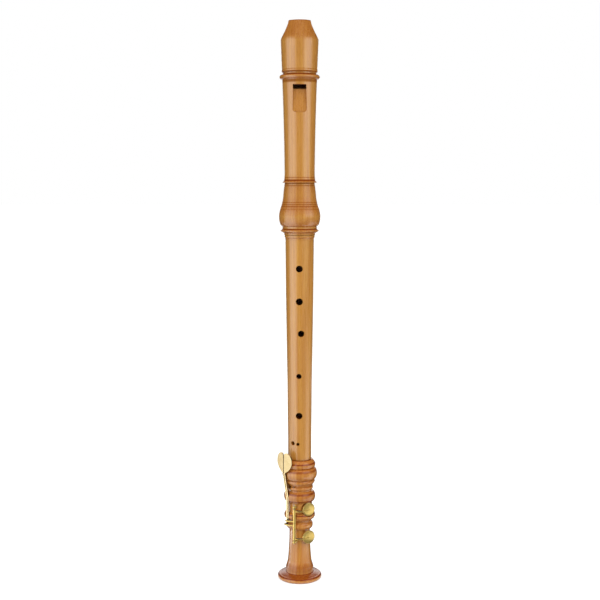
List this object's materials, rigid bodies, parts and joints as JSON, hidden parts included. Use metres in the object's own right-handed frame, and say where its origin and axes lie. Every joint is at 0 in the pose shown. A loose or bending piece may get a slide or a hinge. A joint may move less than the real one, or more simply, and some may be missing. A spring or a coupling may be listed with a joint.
{
  "type": "tenor recorder",
  "caption": "Wooden tenor recorder: head with windway and beak, finger-holed middle joint, and foot with a brass double key on see-saw levers.",
  "frame": {"origin": "centre of the bell's end face, on the bore's axis", "axes": "+Z along the bore towards the beak, -Y out of the finger holes, +X towards the pad cups"},
  "size_m": [0.0523, 0.0522, 0.6498],
  "materials": {
    "wood": "satin varnish on fine vertical grain",
    "foot_wood": "gloss varnish, a little redder than the other joints",
    "block_wood": "bare, fine-grained cedar-like block",
    "cork": "cork",
    "brass": "pale satin brass",
    "steel": "plain steel",
    "spring_steel": "blued spring steel",
    "pad_leather": "tan pad skin",
    "felt": "dark felt"
  },
  "bodies": {
    "foot": {"foot_joint": "foot_wood", "lever_pin": "steel", "key_rod": "steel", "upper_post": "brass", "lower_post": "brass"},
    "c_sharp_lever": {"c_sharp_lever": "brass", "c_sharp_lever_felt": "felt", "c_sharp_touch_cork": "cork"},
    "c_lever": {"c_lever": "brass", "c_lever_felt": "felt", "c_touch_cork": "cork"},
    "c_sharp_key": {"c_sharp_key": "brass", "c_sharp_pad": "pad_leather", "c_sharp_spring": "spring_steel"},
    "c_key": {"c_key": "brass", "c_pad": "pad_leather", "c_spring": "spring_steel"},
    "lower_cork": {"lower_tenon_cork": "cork"},
    "middle": {"middle_joint": "wood"},
    "upper_cork": {"upper_tenon_cork": "cork"},
    "head": {"head_joint": "wood", "windway_block": "block_wood"}
  },
  "joints": [
    {"name": "c_sharp_lever_hinge", "type": "hinge", "parent": "foot", "child": "c_sharp_lever", "pos_m": [-0.01052, -0.00764, 0.1138], "axis": [-0.5878, 0.809, 0], "range_deg": [0, 2.7], "stiffness_Nm_per_rad": 0.05},
    {"name": "c_lever_hinge", "type": "hinge", "parent": "foot", "child": "c_lever", "pos_m": [-0.01052, -0.00764, 0.1138], "axis": [-0.5878, 0.809, 0], "range_deg": [0, 3.05], "stiffness_Nm_per_rad": 0.05},
    {"name": "c_sharp_key_hinge", "type": "hinge", "parent": "foot", "child": "c_sharp_key", "pos_m": [-0.00633, -0.01738, 0.08], "axis": [0, 0, 1], "range_deg": [0, 12], "stiffness_Nm_per_rad": 0.01},
    {"name": "c_key_hinge", "type": "hinge", "parent": "foot", "child": "c_key", "pos_m": [-0.00633, -0.01738, 0.0615], "axis": [0, 0, 1], "range_deg": [0, 12], "stiffness_Nm_per_rad": 0.01},
    {"name": "lower_tenon_slide", "type": "slide", "parent": "foot", "child": "lower_cork", "axis": [0, 0, 1], "range_m": [0, 0.027]},
    {"name": "middle_turn", "type": "hinge", "parent": "lower_cork", "child": "middle", "pos_m": [0, 0, 0.13], "axis": [0, 0, 1], "continuous": true},
    {"name": "upper_cork_turn", "type": "hinge", "parent": "middle", "child": "upper_cork", "pos_m": [0, 0, 0.42], "axis": [0, 0, 1], "continuous": true},
    {"name": "head_slide", "type": "slide", "parent": "upper_cork", "child": "head", "axis": [0, 0, 1], "range_m": [0, 0.032]}
  ],
  "couplings": [
    {"joint": "c_sharp_key_hinge", "follows": "c_sharp_lever_hinge", "ratio": 4.43},
    {"joint": "c_key_hinge", "follows": "c_lever_hinge", "ratio": 3.92}
  ]
}
